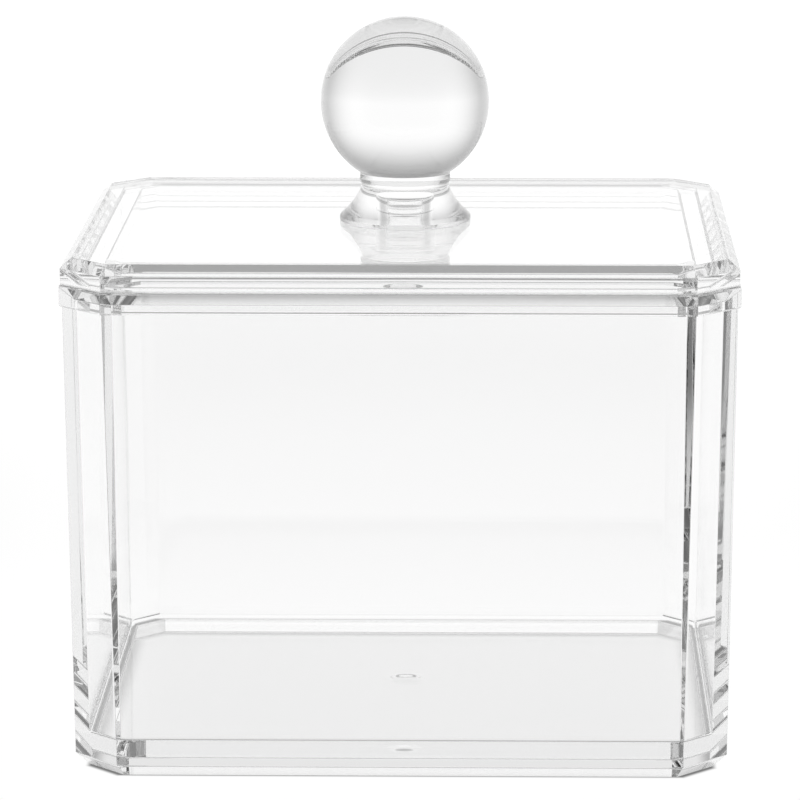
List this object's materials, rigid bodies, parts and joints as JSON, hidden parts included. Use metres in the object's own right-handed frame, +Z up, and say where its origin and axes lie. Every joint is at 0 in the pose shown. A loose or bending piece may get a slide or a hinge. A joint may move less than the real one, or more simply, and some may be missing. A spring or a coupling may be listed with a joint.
{
  "type": "cotton swab holder",
  "caption": "Clear rectangular swab box with cut corners, a lift-off lid with a locating lip and a ball knob on a flared neck.",
  "frame": {"origin": "middle of the flat foot ring that the box stands on, at the height of the table", "axes": "+Z up through the knob, -Y the long front face that the picture shows, +X to the right of it"},
  "size_m": [0.1004, 0.0824, 0.1094],
  "materials": {
    "clear_box": "polished",
    "clear_lid": "polished",
    "clear_knob": "polished"
  },
  "bodies": {
    "box": {"box": "clear_box"},
    "lid": {"lid": "clear_lid", "knob": "clear_knob"}
  },
  "joints": [
    {"name": "lid_lift", "type": "slide", "parent": "box", "child": "lid", "axis": [0, 0, 1], "range_m": [0, 0.08]}
  ]
}
